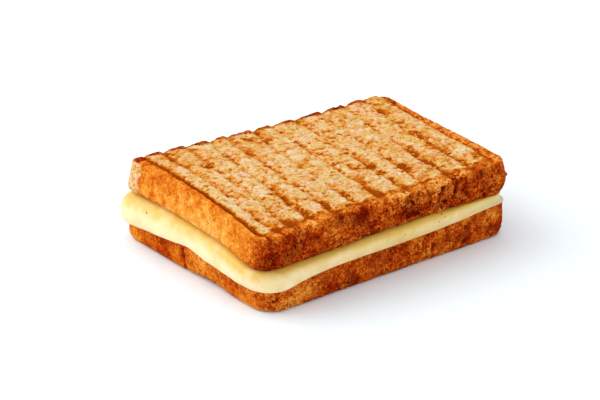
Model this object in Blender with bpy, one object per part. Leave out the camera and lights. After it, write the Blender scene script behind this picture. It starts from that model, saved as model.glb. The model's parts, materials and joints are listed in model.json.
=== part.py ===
"""A grilled cheese sandwich: two slices of wholemeal toast from a ribbed grill, with melted cheese between.

Every piece is lofted through closed rings. A ring starts at the middle of the front left corner's arc and
runs along the front, right, back and left sides, so side 0 is the front and corner 0 is the front left one.
Heights and bulges are read from knots, one at each corner and at each quarter of a side, in the same order,
because pressed bread dips and swells. Metres, +Z up. It stands on z = 0 with its middle over the origin.
"""

import math

import bmesh
import bpy
import numpy as np

MM = 0.001
GAP = 0.4 * MM  # air between the bread and the cheese that rests on it

# Plan of each slice: its corners before they are rounded, from the front left one to the back left one, the
# corner radii, and how far each side, front, right, back, left, swells at its middle
TOP_CORNERS = MM * np.array([(-65.6, -48.9), (63.2, -52.2), (69.0, 38.8), (-61.0, 51.3)])
TOP_RADII = MM * np.array([10, 7, 7, 3.6])
TOP_RIM_RADII = MM * np.array([7, 5, 5, 2.8])
TOP_SWELLS = MM * np.array([0.0, 0.6, 0.4, -1.0])
BOTTOM_CORNERS = MM * np.array([(-64.6, -50.2), (66.4, -49.0), (67.0, 42.6), (-65.0, 50.0)])
BOTTOM_RADII = MM * np.array([10, 6.5, 9, 5.5])
BASE_RADII = MM * np.array([10, 5.5, 7, 4.5])
BOTTOM_SWELLS = MM * np.array([-0.1, 0.6, 0.6, 0.4])

# How far each side, front, right, back, left, moves out at a level; negative is inward
TOP_RIM_STEP = MM * np.array([-2.6, -1.6, -1.6, -1.2])
TOP_ARC_STEP = MM * np.array([-0.8, -0.5, -0.5, -0.4])
TOP_BELLY_STEP = MM * np.array([0.7, 0.8, 0.6, 0.9])
TOP_FOOT_STEP = MM * np.array([-0.6, 0.2, 0.0, 1.6])
TOP_SOLE_STEP = MM * np.array([-2.0, -1.4, -1.4, -0.2])
BASE_STEP = MM * np.array([-0.7, -1.0, -1.0, -0.8])

# Heights above the table, at the knots
TOP_RIM_HEIGHTS = MM * np.array(
    [33.2, 35.2, 35.2, 35.8, 36.6, 36.8, 36.6, 36.8, 37.5, 35.8, 34.7, 34.8, 35.0, 35.8, 36.0, 35.0]
)
TOP_SOLE_HEIGHTS = MM * np.array(
    [18.8, 19.4, 20.9, 21.6, 21.4, 22.0, 22.0, 22.0, 22.0, 21.8, 21.4, 20.8, 20.6, 21.5, 21.6, 21.4]
)
LIP_HEIGHTS = MM * np.array(
    [9.8, 13.4, 13.3, 14.0, 15.7, 14.4, 12.6, 12.2, 12.4, 11.6, 11.4, 10.4, 8.1, 10.3, 12.8, 10.2]
)

# Levels of the upper slice's crust
TOP_ARC_DROP = 0.6 * MM  # below the rim
TOP_SHOULDER_DROP = 2.3 * MM
TOP_FOOT_RISE = 1.6 * MM  # above the underside's edge
SOLE_HEIGHT = 21.4 * MM  # flat middle of the underside
SOLE_INSET = 14 * MM

# Levels of the lower slice
EDGE_TUCK = 1.7 * MM  # how far its lower edge rounds in
EDGE_RISE = 1.5 * MM  # height at which that rounding ends
LIP_DROP = 1.0 * MM  # crust kept upright below the pressed upper edge
FACE_HEIGHT = 14.4 * MM  # buttered face at the right end
FACE_SAG = 1.8 * MM  # it is this much lower along the left end
FACE_INSET = 11 * MM
LEAST_RISE = 0.3 * MM  # from the cheese's lip to the face
PRESSED_EDGE = ((0.25, 0.62), (0.62, 0.92), (1.0, 1.0))  # share of the way in, share of the way up
PRESSED_RUN = 0.9  # width of the pressed edge for each unit of its height
PRESSED_LEAST = 0.8 * MM
ARCH_PLACE = 14.45  # the lower edge lifts off the table here, counted in knots
ARCH_REACH = 0.85
ARCH_RISE = 1.7 * MM

# Cheese: how far it swells past the bread, at the knots, and how it hangs over the lower slice's edge
BULGES = MM * np.array(
    [2.4, 1.8, 2.0, 1.2, -1.8, 0.4, 2.0, 2.0, 1.8, 2.4, 2.2, 2.8, 3.7, 3.2, 2.4, 2.2]
)
LIP_OUT = MM * np.array(
    [1.1, 1.1, 1.1, 0.8, 0.1, 0.7, 1.1, 1.1, 1.1, 1.1, 1.1, 1.1, 1.1, 1.1, 1.1, 1.1]
)
LIP_CURL = 0.35 * MM
SWELL = ((0.14, 0.42), (0.34, 0.82), (0.56, 1.0), (0.78, 0.9))  # share of the way down, share of the bulge

# Grill ribs: grooves across the upper slice, by their distance along its front and its back edge. The first
# is the crease beside the left crust, the next is faint, and the last lies beside the right crust.
GROOVE_FRONTS = MM * np.array([2.6, 9.4, 17.0, 26.4, 37.8, 50.0, 62.3, 75.4, 85.8, 98.0, 110.0, 122.0])
GROOVE_BACKS = MM * np.array([4.7, 14.3, 25.8, 37.4, 46.6, 59.4, 69.9, 82.0, 95.2, 107.4, 117.6, 126.0])
GROOVE_BEND = 2  # they leave the front edge square and slant towards the back
RIB_HALF_WIDTH = 1.7 * MM
RIB_DEPTH = 0.95 * MM
FAINT_DEPTH = 0.45 * MM
CREASE_HALF_WIDTH = 0.9 * MM
CREASE_DEPTH = 0.8 * MM
BASE_RIB_COUNT = 10
BASE_RIB_PITCH = 11.6 * MM
BASE_RIB_DEPTH = 0.7 * MM
GROOVE_RUN = (1.0, 0.8, 0.4)  # share of a groove's depth at the rim and at the next two levels of the crust

# Loft density
TOP_ROWS = 13
BASE_ROWS = 12
CHEESE_COLUMNS = 34
CHEESE_ROWS = 26
RIDGE_COLUMNS = 2
PATH_POINTS = 24
CORNER_CROWDING = 0.72  # how much closer a ring's stations lie at a corner than halfway along a side
SHARP_ANGLE = math.radians(50)


def directions(corners):
    """Unit vector along each side."""
    along = np.roll(corners, -1, axis=0) - corners
    return along / np.linalg.norm(along, axis=1)[:, None]


def right_hand(along):
    """The directions turned a quarter to the right, which is outward for a side."""
    return np.stack([along[:, 1], -along[:, 0]], axis=1)


def move_sides(corners, steps):
    """Corners after each side has moved outward by its own step."""
    steps = np.broadcast_to(steps, 4)
    facing = right_hand(directions(corners))
    moved = []
    for i in range(4):
        normals = np.array([facing[i - 1], facing[i]])
        moved.append(corners[i] + np.linalg.solve(normals, [steps[i - 1], steps[i]]))
    return np.array(moved)


def corner_arc(corners, radii, i, start, end):
    """Points on corner i's arc, from the share start to the share end of its turn."""
    along = directions(corners)
    heading = math.atan2(along[i - 1][1], along[i - 1][0])
    turn = (math.atan2(along[i][1], along[i][0]) - heading) % (2 * math.pi)
    reach = radii[i] * math.tan(turn / 2)
    centre = corners[i] - reach * along[i - 1] + radii[i] * np.array([-along[i - 1][1], along[i - 1][0]])
    angles = heading + turn * np.linspace(start, end, PATH_POINTS)
    return centre + radii[i] * np.stack([np.sin(angles), -np.cos(angles)], axis=1)


def along_side(corners, radii, swells, side, shares):
    """Points at shares of the way from the middle of one corner's arc to the middle of the next one's."""
    path = np.vstack(
        [corner_arc(corners, radii, side, 0.5, 1), corner_arc(corners, radii, (side + 1) % 4, 0, 0.5)]
    )
    steps = np.linalg.norm(np.diff(path, axis=0), axis=1)
    travelled = np.concatenate([[0], np.cumsum(steps)]) / steps.sum()
    points = np.stack([np.interp(shares, travelled, path[:, axis]) for axis in (0, 1)], axis=1)
    swell = swells[side] * np.sin(math.pi * np.asarray(shares)) ** 2
    return points + swell[:, None] * right_hand(directions(corners))[side]


def side_length(corners, radii, swells, side):
    """Length of that same path."""
    path = along_side(corners, radii, swells, side, np.linspace(0, 1, 4 * PATH_POINTS))
    return np.linalg.norm(np.diff(path, axis=0), axis=1).sum()


def plan_ring(corners, radii, swells, places):
    """Plan points of a closed ring, at the given shares of each side."""
    return np.vstack([along_side(corners, radii, swells, side, places[side]) for side in range(4)])


def positions(places):
    """Where a ring's stations lie, counted in knots from the front left corner."""
    return np.concatenate([4 * (side + np.asarray(places[side])) for side in range(4)])


def smooth_through(knots, position):
    """Values on a smooth closed curve through the knots, at positions counted in knots."""
    before = np.floor(position).astype(int)
    f = position - before
    a, b, c, d = (np.take(knots, before + step, mode="wrap") for step in (-1, 0, 1, 2))
    return b + 0.5 * f * (c - a + f * (2 * a - 5 * b + 4 * c - d + f * (3 * (b - c) + d - a)))


def read_knots(knots, places):
    """The same at a ring's stations."""
    return smooth_through(knots, positions(places))


def outward(plan):
    """Unit normals of a closed ring in plan, pointing out."""
    along = np.roll(plan, -1, axis=0) - np.roll(plan, 1, axis=0)
    return right_hand(along) / np.linalg.norm(along, axis=1)[:, None]


def lift(plan, heights):
    """Plan points with heights, as points in space."""
    return np.column_stack([plan, np.broadcast_to(heights, len(plan))])


def eased(count):
    """Shares of a side for stations that crowd towards its two corners."""
    t = np.arange(count) / count
    return t - CORNER_CROWDING * np.sin(2 * math.pi * t) / (2 * math.pi)


def even_places(columns, rows):
    """Shares of the four sides for a plain closed ring."""
    return [eased(columns), eased(rows), eased(columns), eased(rows)]


def grid_places(front, back, rows):
    """Shares of the four sides for a grid whose columns meet the front and back edges at these shares."""
    return [front[:-1], eased(rows), 1 - back[:0:-1], eased(rows)]


def span(edge, shares, rows):
    """Grid of points that spans a rim, by blending its four sides. Indexed by column, then row.

    edge(side, places) gives points on a side; shares holds each grid point's place along front and back.
    """
    up = np.append(eased(rows), 1)
    v = np.broadcast_to(up, shares.shape)[:, :, None]
    u = shares[:, :, None]
    front = edge(0, shares.ravel()).reshape(*shares.shape, 3)
    back = edge(2, 1 - shares.ravel()).reshape(*shares.shape, 3)
    sides = (1 - v) * front + v * back + (1 - u) * edge(3, 1 - up) + u * edge(1, up)
    ends = [edge(side, np.zeros(1)) for side in range(4)]
    return sides - (1 - u) * ((1 - v) * ends[0] + v * ends[3]) - u * ((1 - v) * ends[1] + v * ends[2])


def groove_columns(length, centres, depths, half_widths):
    """Shares of a side for its columns, on each groove's bottom, brows and ridges, and how deep each is."""
    starts = np.concatenate([[0], np.add(centres, half_widths)])
    stops = np.append(np.subtract(centres, half_widths), length)
    places = [0.0]
    cuts = [0.0]
    for i, (start, stop) in enumerate(zip(starts, stops)):
        places += list(np.linspace(start, stop, RIDGE_COLUMNS + 2)[1:-1])
        cuts += [0.0] * RIDGE_COLUMNS
        if i < len(centres):
            places += [stop, centres[i], starts[i + 1]]
            cuts += [0.0, depths[i], 0.0]
    places.append(length)
    cuts.append(0.0)
    return np.array(places) / length, np.array(cuts)


def around(cuts, rows):
    """Depths at a ring's stations: the grooves meet its front and its back side only."""
    columns = len(cuts) - 1
    depths = np.zeros(2 * (columns + rows))
    depths[: columns + 1] = cuts
    depths[columns + rows : 2 * columns + rows + 1] = cuts[::-1]
    return depths


class Solid:
    """Collects the rings and faces of one closed body."""

    def __init__(self):
        self.mesh = bmesh.new()

    def loft(self, rings):
        """Quads through a list of rings of points; returns the first and the last ring's vertices."""
        verts = [[self.mesh.verts.new(point) for point in points] for points in rings]
        for first, second in zip(verts, verts[1:]):
            for i, vert in enumerate(first):
                self.mesh.faces.new((first[i - 1], vert, second[i], second[i - 1]))
        return verts[0], verts[-1]

    def close(self, rim):
        """A flat fan of triangles over a ring."""
        middle = self.mesh.verts.new(np.mean([vert.co[:] for vert in rim], axis=0))
        for i, vert in enumerate(rim):
            self.mesh.faces.new((rim[i - 1], vert, middle))

    def fill(self, rim, points):
        """Quads over a grid of points whose border is a ring that is already there."""
        columns, rows = points.shape[0] - 1, points.shape[1] - 1
        verts = [[None] * (rows + 1) for _ in range(columns + 1)]
        for i in range(columns + 1):
            verts[i][0] = rim[i]
            verts[i][rows] = rim[2 * columns + rows - i]
        for j in range(rows):
            verts[columns][j] = rim[columns + j]
            verts[0][j] = rim[-j]
        for i in range(1, columns):
            for j in range(1, rows):
                verts[i][j] = self.mesh.verts.new(points[i, j])
        for i in range(columns):
            for j in range(rows):
                self.mesh.faces.new((verts[i][j], verts[i + 1][j], verts[i + 1][j + 1], verts[i][j + 1]))

    def finish(self, name, material):
        """Makes the object, with its faces pointing out and its round stretches shaded smooth."""
        bmesh.ops.recalc_face_normals(self.mesh, faces=self.mesh.faces)
        data = bpy.data.meshes.new(name)
        self.mesh.to_mesh(data)
        self.mesh.free()
        data.materials.append(material)
        data.shade_smooth()
        data.set_sharp_from_angle(angle=SHARP_ANGLE)
        made = bpy.data.objects.new(name, data)
        bpy.context.scene.collection.objects.link(made)
        return made


def food_material(name, colour, roughness):
    """A plain Principled material, not metallic."""
    material = bpy.data.materials.new(name)
    material.use_nodes = True
    shader = material.node_tree.nodes["Principled BSDF"]
    shader.inputs["Base Color"].default_value = (*colour, 1)
    shader.inputs["Roughness"].default_value = roughness
    shader.inputs["Metallic"].default_value = 0
    return material


def top_ring(steps, radii, places):
    """Plan of the upper slice's crust at one level."""
    return plan_ring(move_sides(TOP_CORNERS, steps), radii, TOP_SWELLS, places)


def bottom_ring(steps, radii, places):
    """Plan of the lower slice's crust at one level."""
    return plan_ring(move_sides(BOTTOM_CORNERS, steps), radii, BOTTOM_SWELLS, places)


def face_height(plan):
    """Height of the lower slice's buttered face, which falls towards the left."""
    left, right = BOTTOM_CORNERS[0, 0], BOTTOM_CORNERS[1, 0]
    return FACE_HEIGHT - FACE_SAG * (right - plan[:, 0]) / (right - left)


def top_slice():
    """The upper slice: ribbed toasted face, rounded crust, flat underside."""
    rim_corners = move_sides(TOP_CORNERS, TOP_RIM_STEP)
    ribs = len(GROOVE_FRONTS) - 2
    depths = [CREASE_DEPTH, FAINT_DEPTH] + [RIB_DEPTH] * ribs
    half_widths = [CREASE_HALF_WIDTH] + [RIB_HALF_WIDTH] * ribs + [CREASE_HALF_WIDTH]
    shares = []
    for side, centres in ((0, GROOVE_FRONTS), (2, GROOVE_BACKS)):
        length = side_length(rim_corners, TOP_RIM_RADII, TOP_SWELLS, side)
        share, cuts = groove_columns(length, centres, depths, half_widths)
        shares.append(share)
    places = grid_places(shares[0], shares[1], TOP_ROWS)
    grooves = around(cuts, TOP_ROWS)
    rim_height = read_knots(TOP_RIM_HEIGHTS, places)
    edge_height = read_knots(TOP_SOLE_HEIGHTS, places)

    rim_plan = top_ring(TOP_RIM_STEP, TOP_RIM_RADII, places)
    arc_plan = top_ring(TOP_ARC_STEP, 0.5 * (TOP_RADII + TOP_RIM_RADII), places)
    solid = Solid()
    first, last = solid.loft(
        [
            lift(rim_plan, rim_height - GROOVE_RUN[0] * grooves),
            lift(arc_plan, rim_height - TOP_ARC_DROP - GROOVE_RUN[1] * grooves),
            lift(top_ring(0, TOP_RADII, places), rim_height - TOP_SHOULDER_DROP - GROOVE_RUN[2] * grooves),
            lift(top_ring(TOP_BELLY_STEP, TOP_RADII, places), 0.5 * (rim_height + edge_height)),
            lift(top_ring(TOP_FOOT_STEP, TOP_RADII, places), edge_height + TOP_FOOT_RISE),
            lift(top_ring(TOP_SOLE_STEP, TOP_RIM_RADII, places), edge_height),
            lift(top_ring(TOP_SOLE_STEP - SOLE_INSET, TOP_RIM_RADII, places), SOLE_HEIGHT),
        ]
    )

    def edge(side, place):
        plan = along_side(rim_corners, TOP_RIM_RADII, TOP_SWELLS, side, place)
        return lift(plan, smooth_through(TOP_RIM_HEIGHTS, 4 * (side + place)))

    bend = np.append(eased(TOP_ROWS), 1) ** GROOVE_BEND
    face = span(edge, (1 - bend) * shares[0][:, None] + bend * shares[1][:, None], TOP_ROWS)
    face[:, :, 2] -= cuts[:, None]
    solid.fill(first, face)
    solid.close(last)
    return solid.finish("top_slice", food_material("toasted_wholemeal", (0.76, 0.42, 0.15), 0.75))


def bottom_slice():
    """The lower slice: ribbed underside to rest on, crust, and an upper edge pressed by the cheese."""
    base_corners = move_sides(BOTTOM_CORNERS, BASE_STEP)
    rim_corners = move_sides(base_corners, -EDGE_TUCK)
    length = side_length(rim_corners, BASE_RADII, BOTTOM_SWELLS, 0)
    first_rib = 0.5 * (length - (BASE_RIB_COUNT - 1) * BASE_RIB_PITCH)
    ribs = first_rib + BASE_RIB_PITCH * np.arange(BASE_RIB_COUNT)
    depths = [BASE_RIB_DEPTH] * BASE_RIB_COUNT
    share, cuts = groove_columns(length, ribs, depths, [RIB_HALF_WIDTH] * BASE_RIB_COUNT)
    places = grid_places(share, share, BASE_ROWS)
    grooves = around(cuts, BASE_ROWS)
    nearness = np.clip(1 - np.abs(positions(places) - ARCH_PLACE) / ARCH_REACH, 0, 1)
    arch = ARCH_RISE * np.sin(0.5 * math.pi * nearness) ** 2

    rim_plan = plan_ring(rim_corners, BASE_RADII, BOTTOM_SWELLS, places)
    arc_plan = plan_ring(move_sides(base_corners, -0.3 * EDGE_TUCK), BASE_RADII, BOTTOM_SWELLS, places)
    side_plan = plan_ring(base_corners, BASE_RADII, BOTTOM_SWELLS, places)
    rings = [
        lift(rim_plan, arch + GROOVE_RUN[0] * grooves),
        lift(arc_plan, arch + 0.3 * EDGE_RISE + GROOVE_RUN[1] * grooves),
        lift(side_plan, arch + EDGE_RISE + GROOVE_RUN[2] * grooves),
        lift(bottom_ring(0, BOTTOM_RADII, places), read_knots(LIP_HEIGHTS, places) - LIP_DROP),
    ]
    solid = Solid()
    first, last = solid.loft(rings + pressed_edge(places, 0))

    def edge(side, place):
        return lift(along_side(rim_corners, BASE_RADII, BOTTOM_SWELLS, side, place), 0)

    face = span(edge, np.repeat(share[:, None], BASE_ROWS + 1, axis=1), BASE_ROWS)
    face[:, :, 2] += cuts[:, None]
    solid.fill(first, face)
    solid.close(last)
    return solid.finish("bottom_slice", food_material("toasted_crust", (0.52, 0.20, 0.05), 0.7))


def pressed_edge(places, clearance):
    """Rings over the lower slice's rounded upper edge, from the cheese's lip in to the flat face."""
    plan = bottom_ring(0, BOTTOM_RADII, places)
    normal = outward(plan)
    lip_height = read_knots(LIP_HEIGHTS, places)
    rise = np.maximum(face_height(plan) - lip_height, LEAST_RISE)
    rings = [(plan, lip_height)]
    for across, up in PRESSED_EDGE:
        inward = across * (PRESSED_RUN * rise + PRESSED_LEAST)
        rings.append((plan - inward[:, None] * normal, lip_height + up * rise))
    inner = bottom_ring(-FACE_INSET, 0.5 * BOTTOM_RADII, places)
    rings.append((inner, face_height(inner)))
    return [lift(plan + clearance * normal, height + clearance) for plan, height in rings]


def cheese():
    """The melted cheese: it runs through, swells past the bread and hangs over the lower slice's edge."""
    places = even_places(CHEESE_COLUMNS, CHEESE_ROWS)
    top = read_knots(TOP_SOLE_HEIGHTS, places) - GAP
    lip_height = read_knots(LIP_HEIGHTS, places)
    bulge = read_knots(BULGES, places)
    foot = top_ring(TOP_FOOT_STEP, TOP_RADII, places)
    on_bread = bottom_ring(0, BOTTOM_RADII, places)
    normal = outward(on_bread)
    rings = [
        lift(top_ring(TOP_SOLE_STEP - SOLE_INSET, TOP_RIM_RADII, places), SOLE_HEIGHT - GAP),
        lift(top_ring(TOP_SOLE_STEP, TOP_RIM_RADII, places), top),
    ]
    for down, share in SWELL:
        middle = (1 - down) * foot + down * on_bread
        rings.append(lift(middle + (share * bulge)[:, None] * normal, top + down * (lip_height - top)))
    lip_plan = on_bread + (GAP + read_knots(LIP_OUT, places))[:, None] * normal
    rings.append(lift(lip_plan, lip_height + LIP_CURL))
    solid = Solid()
    first, last = solid.loft(rings + pressed_edge(places, GAP))
    solid.close(first)
    solid.close(last)
    return solid.finish("cheese", food_material("melted_cheese", (0.93, 0.80, 0.42), 0.35))


def centre_on_origin(pieces):
    """Moves the meshes so that the whole sandwich's box is centred over the origin and stands on z = 0."""
    points = np.array([vert.co[:] for piece in pieces for vert in piece.data.vertices])
    low, high = points.min(axis=0), points.max(axis=0)
    for piece in pieces:
        for vert in piece.data.vertices:
            vert.co.x -= (low[0] + high[0]) / 2
            vert.co.y -= (low[1] + high[1]) / 2
            vert.co.z -= low[2]


def main():
    for old in list(bpy.data.objects):
        bpy.data.objects.remove(old)
    centre_on_origin([bottom_slice(), cheese(), top_slice()])


main()
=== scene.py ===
"""A grilled cheese sandwich, dressed: two slices of wholemeal toast from a ribbed grill, and cheese.

Laid out as an add-on. An operator makes each slice and the cheese, and puts it where its solid is. Two more
make the crumbs on the crust and the specks in the cheese, and the last one makes the studio. Shapes are
worked out in millimetres, x to the right, y to the back and z up, and are moved onto the solids at the end.

A ring of points starts at the front left corner and runs along the front, right, back and left sides,
numbered 0 to 3. Heights and bulges are read from knots, one at each corner and at each quarter of a side, in
that order, so the corners are at knots 0, 4, 8 and 12.
"""

import json
import math

import bmesh
import bpy
import numpy as np
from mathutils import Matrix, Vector

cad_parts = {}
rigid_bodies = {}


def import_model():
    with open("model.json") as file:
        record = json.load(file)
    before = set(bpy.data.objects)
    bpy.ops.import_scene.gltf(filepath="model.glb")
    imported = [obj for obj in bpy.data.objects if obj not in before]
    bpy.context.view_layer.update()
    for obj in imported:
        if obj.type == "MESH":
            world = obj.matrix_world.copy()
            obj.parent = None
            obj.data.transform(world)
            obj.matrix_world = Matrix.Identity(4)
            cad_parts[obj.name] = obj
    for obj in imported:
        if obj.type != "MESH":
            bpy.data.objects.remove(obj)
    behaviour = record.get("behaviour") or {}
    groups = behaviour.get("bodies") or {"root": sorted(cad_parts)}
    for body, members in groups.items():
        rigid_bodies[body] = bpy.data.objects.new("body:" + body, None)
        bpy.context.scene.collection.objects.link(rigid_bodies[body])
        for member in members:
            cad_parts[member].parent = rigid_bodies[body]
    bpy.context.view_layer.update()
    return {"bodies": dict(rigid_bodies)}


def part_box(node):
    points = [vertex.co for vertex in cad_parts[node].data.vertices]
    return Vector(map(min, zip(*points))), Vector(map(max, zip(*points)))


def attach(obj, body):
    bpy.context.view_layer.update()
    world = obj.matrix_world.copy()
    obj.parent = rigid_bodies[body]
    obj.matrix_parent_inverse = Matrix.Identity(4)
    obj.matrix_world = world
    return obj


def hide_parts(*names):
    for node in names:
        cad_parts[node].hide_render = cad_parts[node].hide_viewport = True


bl_info = {
    "name": "Grilled Cheese Sandwich",
    "version": (1, 0, 0),
    "blender": (4, 5, 0),
    "location": "3D View > Sidebar > Sandwich",
    "description": "Two slices of ribbed wholemeal toast with melted cheese, on a pale studio floor",
    "category": "Add Mesh",
}

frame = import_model()
BODY = next(iter(frame["bodies"]))
MM = 0.001

# Plan of each slice: its corners before they are rounded, the corner radii, and how far each side swells
TOP_CORNERS = np.array([(-65.6, -48.9), (63.2, -52.2), (69.0, 38.8), (-61.0, 51.3)])
TOP_RADII = np.array([10, 7, 7, 3.6])
TOP_RIM_RADII = np.array([7, 5, 5, 2.8])
TOP_SWELLS = np.array([0.0, 0.6, 0.4, -1.0])
BOTTOM_CORNERS = np.array([(-64.6, -50.2), (66.4, -49.0), (67.0, 42.6), (-65.0, 50.0)])
BOTTOM_RADII = np.array([10, 6.5, 9, 5.5])
BASE_RADII = np.array([10, 5.5, 7, 4.5])
BOTTOM_SWELLS = np.array([-0.1, 0.6, 0.6, 0.4])

# How far each side moves out at a level; negative is inward
TOP_RIM_STEP = np.array([-2.6, -1.6, -1.6, -1.2])
TOP_ARC_STEP = np.array([-0.8, -0.5, -0.5, -0.4])
TOP_BELLY_STEP = np.array([0.7, 0.8, 0.6, 0.9])
TOP_FOOT_STEP = np.array([-0.6, 0.2, 0.0, 1.6])
TOP_SOLE_STEP = np.array([-2.0, -1.4, -1.4, -0.2])
BASE_STEP = np.array([-0.7, -1.0, -1.0, -0.8])

# Heights above the table, at the knots
TOP_RIM_HEIGHTS = np.array(
    [33.2, 35.2, 35.2, 35.8, 36.6, 36.8, 36.6, 36.8, 37.5, 35.8, 34.7, 34.8, 35.0, 35.8, 36.0, 35.0]
)
TOP_SOLE_HEIGHTS = np.array(
    [18.8, 19.4, 20.9, 21.6, 21.4, 22.0, 22.0, 22.0, 22.0, 21.8, 21.4, 20.8, 20.6, 21.5, 21.6, 21.4]
)
LIP_HEIGHTS = np.array(
    [9.8, 13.4, 13.3, 14.0, 15.7, 14.4, 12.6, 12.2, 12.4, 11.6, 11.4, 10.4, 8.1, 10.3, 12.8, 10.2]
)
TOP_ARC_DROP, TOP_SHOULDER_DROP, TOP_FOOT_RISE = 0.6, 2.3, 1.6
SOLE_HEIGHT, SOLE_INSET = 21.4, 14.0
EDGE_TUCK, EDGE_RISE, LIP_DROP = 1.7, 1.5, 1.0
FACE_HEIGHT, FACE_SAG, FACE_INSET = 14.4, 1.8, 11.0
LEAST_RISE, PRESSED_RUN, PRESSED_LEAST = 0.3, 0.9, 0.8
PRESSED_EDGE = ((0.25, 0.62), (0.62, 0.92), (1.0, 1.0))
ARCH_PLACE, ARCH_REACH, ARCH_RISE = 14.45, 0.85, 1.7

# Cheese: how far it swells past the bread and how far its lip stands out, at the knots
CHEESE_GAP, LIP_CURL = 0.3, 0.35
BULGES = np.array([2.4, 1.8, 2.0, 1.2, -1.8, 0.4, 2.0, 2.0, 1.8, 2.4, 2.2, 2.8, 3.7, 3.2, 2.4, 2.2])
LIP_OUT = np.array([1.1, 1.1, 1.1, 0.8, 0.1, 0.7, 1.1, 1.1, 1.1, 1.1, 1.1, 1.1, 1.1, 1.1, 1.1, 1.1])
SWELL = ((0.14, 0.42), (0.34, 0.82), (0.56, 1.0), (0.78, 0.9))

# Grooves that the grill's ribs left in the upper face: where each meets the front and the back edge, and how
# hard it is scorched at the front, at a third of the way, at the middle and at the back
FACE_LENGTH, FACE_DEPTH = 127.0, 93.0
GROOVES = (
    (2.6, 4.7, (1.0, 0.9, 0.8, 1.0)),
    (9.4, 14.3, (0.4, 0.25, 0.2, 0.3)),
    (17.0, 25.8, (0.6, 0.2, 0.2, 0.2)),
    (26.4, 37.4, (0.7, 0.55, 0.2, 0.15)),
    (37.8, 46.6, (0.75, 0.35, 0.3, 0.15)),
    (50.0, 59.4, (0.6, 0.2, 0.15, 0.25)),
    (62.3, 69.9, (0.65, 0.5, 0.1, 0.1)),
    (75.4, 82.0, (0.6, 0.55, 0.15, 0.2)),
    (85.8, 95.2, (0.55, 0.45, 0.2, 0.05)),
    (98.0, 107.4, (0.65, 0.5, 0.1, 0.1)),
    (110.0, 117.6, (0.75, 0.4, 0.35, 0.15)),
    (122.0, 126.0, (0.5, 0.35, 0.3, 0.3)),
)
SCORCH_AT = (0.03, 0.3, 0.58, 0.95)
END_GROOVE_WIDTH = 0.55  # share of the others' width that the first and the last one have
# Spots where the face touched the plate: along and across the face, half length, half width, strength
SPOTS = (
    (69.0, 33, 3.5, 2.0, 0.77), (76.5, 29, 2.5, 2.0, 0.98), (75.5, 19, 4.5, 2.8, 1.12),
    (87.0, 20, 4.0, 2.6, 1.05), (99.0, 31, 5.5, 1.8, 0.77), (98.0, 18, 4.0, 2.2, 0.84),
    (51.0, 84, 4.0, 1.6, 0.84), (75.0, 65, 4.0, 1.6, 0.7), (76.0, 56, 3.5, 1.2, 0.56),
    (51.0, 45, 2.5, 1.6, 0.63), (40.0, 54, 2.5, 1.6, 0.7), (113.0, 48, 2.5, 1.6, 0.7),
    (112.0, 42, 2.0, 1.5, 0.7), (102.0, 69, 2.4, 1.0, 0.77), (19.0, 66, 2.0, 1.4, 0.7),
    (32.0, 65, 1.6, 1.0, 0.7), (110.0, 30, 4.5, 3.5, 0.49), (68.0, 76, 2.5, 2.2, 0.42),
    (27.0, 13, 4.5, 1.8, 0.84), (38.0, 9, 5.0, 1.8, 0.84), (63.0, 6, 4.5, 1.8, 0.7),
    (50.0, 13, 3.5, 1.8, 0.56), (119.0, 12, 3.0, 1.6, 0.56), (13.0, 82, 2.5, 1.5, 0.49),
)

# Studio: place of the key light in metres; the camera's direction in degrees, the point it looks at and how
# far away it is in millimetres, and its lens
KEY_PLACE = (-0.8, 0.86, 1.0)
CAMERA_AZIMUTH, CAMERA_ELEVATION = -37.89, 23.87
CAMERA_AIM, CAMERA_AWAY = (-6.214, 3.33, 17.0), 1023.09
CAMERA_LENS, SENSOR_WIDTH = 144, 36


# ---------------------------------------------------------------------------------------------- colours


def linear(hex_colour):
    """Linear colour of an sRGB hex value."""
    values = [int(hex_colour[i : i + 2], 16) / 255 for i in (1, 3, 5)]
    return tuple(c / 12.92 if c <= 0.04045 else ((c + 0.055) / 1.055) ** 2.4 for c in values)


def colour(name, hex_colour, description):
    """A colour that the user can change."""
    return bpy.props.FloatVectorProperty(
        name=name, description=description, subtype="COLOR", size=3, min=0, max=1, default=linear(hex_colour)
    )


def length(name, millimetres, description):
    """A length that the user can change, kept in metres."""
    return bpy.props.FloatProperty(
        name=name, description=description, unit="LENGTH", min=0, precision=5, default=millimetres * MM
    )


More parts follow.
